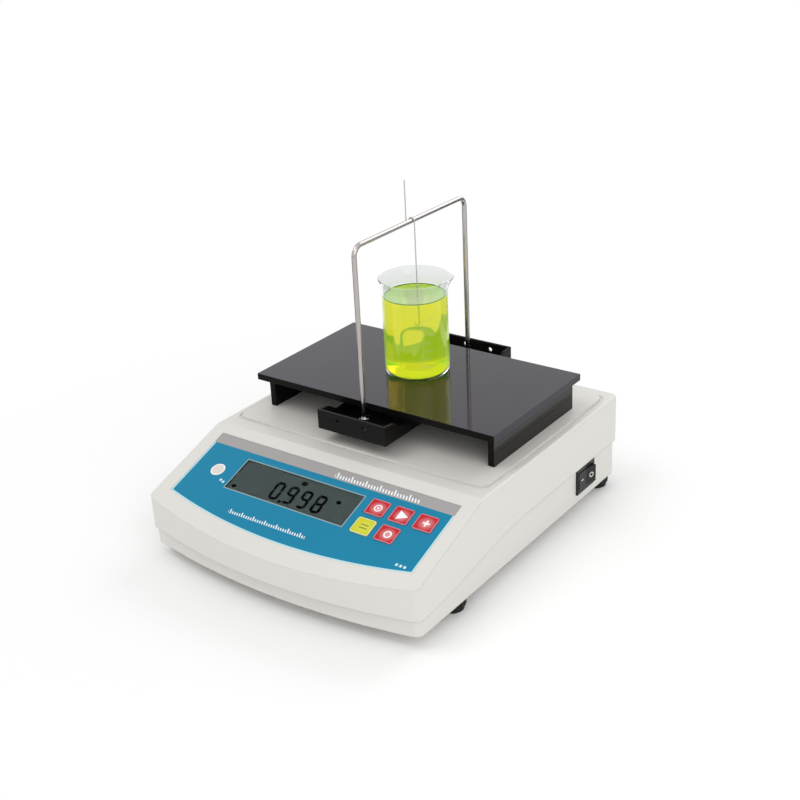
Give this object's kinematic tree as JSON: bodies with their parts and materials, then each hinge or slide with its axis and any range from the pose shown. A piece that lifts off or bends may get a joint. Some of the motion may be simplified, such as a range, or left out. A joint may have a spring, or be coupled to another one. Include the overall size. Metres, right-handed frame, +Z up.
{
  "type": "benchtop density meter",
  "caption": "Lab balance base with sloped keypad panel, black table over a weighing tray, beaker, and a wire frame hanging a glass sinker.",
  "frame": {"origin": "on the bench plane, under the middle of the housing's footprint", "axes": "+X to the right when facing the panel, +Y to the back, +Z up"},
  "size_m": [0.196, 0.2334, 0.2055],
  "materials": {
    "housing_plastic": "fine satin moulding, warm off-white",
    "panel_film": "printed polyester film, blue with a grey band",
    "display_window": "clear window in the film",
    "display_glass": "dark grey-green liquid crystal glass",
    "membrane": "printed switch layer",
    "vial": "white backed round level",
    "circuit_board": "green board with dark parts",
    "zinc_steel": "zinc plated steel",
    "cell_aluminium": "machined",
    "black_plastic": "satin black moulding",
    "foot_rubber": "matt black",
    "red_key": "printed film, red with a pale glow",
    "yellow_key": "printed film, yellow",
    "tray_paint": "black powder coat",
    "nut_steel": "bright plated",
    "frame_steel": "polished stainless rod",
    "sinker_glass": "clear glass",
    "table_acrylic": "polished black acrylic",
    "beaker_glass": "clear laboratory glass"
  },
  "bodies": {
    "base": {"bottom_shell": "housing_plastic", "top_shell": "housing_plastic", "panel_film": "panel_film", "display_window": "display_window", "display_module": "display_glass", "key_membrane": "membrane", "level_vial": "vial", "main_board": "circuit_board", "chassis_plate": "zinc_steel", "chassis_screws": "zinc_steel", "load_cell_spacer": "zinc_steel", "load_cell": "cell_aluminium", "load_cell_screws": "zinc_steel", "switch_body": "black_plastic", "dc_jack": "black_plastic", "serial_port": "zinc_steel", "housing_screws": "zinc_steel"},
    "rocker": {"power_rocker": "black_plastic"},
    "key_upper_left": {"key_upper_left": "red_key"},
    "key_upper_middle": {"key_upper_middle": "red_key"},
    "key_upper_right": {"key_upper_right": "red_key"},
    "key_lower_left": {"key_lower_left": "yellow_key"},
    "key_lower_right": {"key_lower_right": "red_key"},
    "foot_pad_front_left": {"foot_pad_front_left": "foot_rubber"},
    "foot_screw_front_left": {"foot_screw_front_left": "black_plastic"},
    "foot_pad_front_right": {"foot_pad_front_right": "foot_rubber"},
    "foot_screw_front_right": {"foot_screw_front_right": "black_plastic"},
    "foot_pad_rear_left": {"foot_pad_rear_left": "foot_rubber"},
    "foot_screw_rear_left": {"foot_screw_rear_left": "black_plastic"},
    "foot_pad_rear_right": {"foot_pad_rear_right": "foot_rubber"},
    "foot_screw_rear_right": {"foot_screw_rear_right": "black_plastic"},
    "pan_carrier": {"pan_post": "cell_aluminium"},
    "tray_and_frame": {"weigh_tray": "tray_paint", "frame_nuts": "nut_steel", "wire_frame": "frame_steel"},
    "hook": {"hook_wire": "frame_steel"},
    "sinker": {"glass_sinker": "sinker_glass"},
    "table": {"table_top": "table_acrylic", "table_leg_left": "table_acrylic", "table_leg_right": "table_acrylic"},
    "beaker": {"beaker": "beaker_glass"}
  },
  "joints": [
    {"name": "rocker_tip", "type": "hinge", "parent": "base", "child": "rocker", "pos_m": [0.09375, 0.07425, 0.023], "axis": [0, 0, 1], "range_deg": [0, 15]},
    {"name": "press_upper_left", "type": "slide", "parent": "base", "child": "key_upper_left", "axis": [0, 0.3305, -0.9438], "range_m": [0, 0.00035], "stiffness_N_per_m": 3000},
    {"name": "press_upper_middle", "type": "slide", "parent": "base", "child": "key_upper_middle", "axis": [0, 0.3305, -0.9438], "range_m": [0, 0.00035], "stiffness_N_per_m": 3000},
    {"name": "press_upper_right", "type": "slide", "parent": "base", "child": "key_upper_right", "axis": [0, 0.3305, -0.9438], "range_m": [0, 0.00035], "stiffness_N_per_m": 3000},
    {"name": "press_lower_left", "type": "slide", "parent": "base", "child": "key_lower_left", "axis": [0, 0.3305, -0.9438], "range_m": [0, 0.00035], "stiffness_N_per_m": 3000},
    {"name": "press_lower_right", "type": "slide", "parent": "base", "child": "key_lower_right", "axis": [0, 0.3305, -0.9438], "range_m": [0, 0.00035], "stiffness_N_per_m": 3000},
    {"name": "foot_lower_front_left", "type": "slide", "parent": "base", "child": "foot_pad_front_left", "axis": [0, 0, -1], "range_m": [0, 0.004]},
    {"name": "foot_turn_front_left", "type": "hinge", "parent": "foot_pad_front_left", "child": "foot_screw_front_left", "pos_m": [-0.08595, -0.05765, 0.0055], "axis": [0, 0, -1], "range_deg": [0, 1440]},
    {"name": "foot_lower_front_right", "type": "slide", "parent": "base", "child": "foot_pad_front_right", "axis": [0, 0, -1], "range_m": [0, 0.004]},
    {"name": "foot_turn_front_right", "type": "hinge", "parent": "foot_pad_front_right", "child": "foot_screw_front_right", "pos_m": [0.08595, -0.05765, 0.0055], "axis": [0, 0, -1], "range_deg": [0, 1440]},
    {"name": "foot_lower_rear_left", "type": "slide", "parent": "base", "child": "foot_pad_rear_left", "axis": [0, 0, -1], "range_m": [0, 0.004]},
    {"name": "foot_turn_rear_left", "type": "hinge", "parent": "foot_pad_rear_left", "child": "foot_screw_rear_left", "pos_m": [-0.08595, 0.10675, 0.0055], "axis": [0, 0, -1], "range_deg": [0, 1440]},
    {"name": "foot_lower_rear_right", "type": "slide", "parent": "base", "child": "foot_pad_rear_right", "axis": [0, 0, -1], "range_m": [0, 0.004]},
    {"name": "foot_turn_rear_right", "type": "hinge", "parent": "foot_pad_rear_right", "child": "foot_screw_rear_right", "pos_m": [0.08595, 0.10675, 0.0055], "axis": [0, 0, -1], "range_deg": [0, 1440]},
    {"name": "pan_deflection", "type": "slide", "parent": "base", "child": "pan_carrier", "axis": [0, 0, -1], "range_m": [0, 0.0005], "stiffness_N_per_m": 12000, "springref_m": -0.0005, "deforming": ["load_cell"]},
    {"name": "tray_lift", "type": "slide", "parent": "pan_carrier", "child": "tray_and_frame", "axis": [0, 0, 1], "range_m": [0, 0.0025]},
    {"name": "hook_lift", "type": "slide", "parent": "tray_and_frame", "child": "hook", "axis": [0, 0, 1], "range_m": [0, 0.03]},
    {"name": "sinker_swing", "type": "hinge", "parent": "hook", "child": "sinker", "pos_m": [0.00065, 0.03825, 0.11815], "axis": [1, 0, 0], "range_deg": [-4, 4]},
    {"name": "table_lift", "type": "slide", "parent": "base", "child": "table", "axis": [0, 0, 1], "range_m": [0, 0.0022]},
    {"name": "beaker_turn", "type": "hinge", "parent": "table", "child": "beaker", "pos_m": [-0.0022, 0.04115, 0.0847], "axis": [0, 0, 1], "range_deg": [-180, 180]}
  ],
  "couplings": [
    {"joint": "foot_turn_front_left", "follows": "foot_lower_front_left", "rad_per_m": 6283.2},
    {"joint": "foot_turn_front_right", "follows": "foot_lower_front_right", "rad_per_m": 6283.2},
    {"joint": "foot_turn_rear_left", "follows": "foot_lower_rear_left", "rad_per_m": 6283.2},
    {"joint": "foot_turn_rear_right", "follows": "foot_lower_rear_right", "rad_per_m": 6283.2}
  ]
}
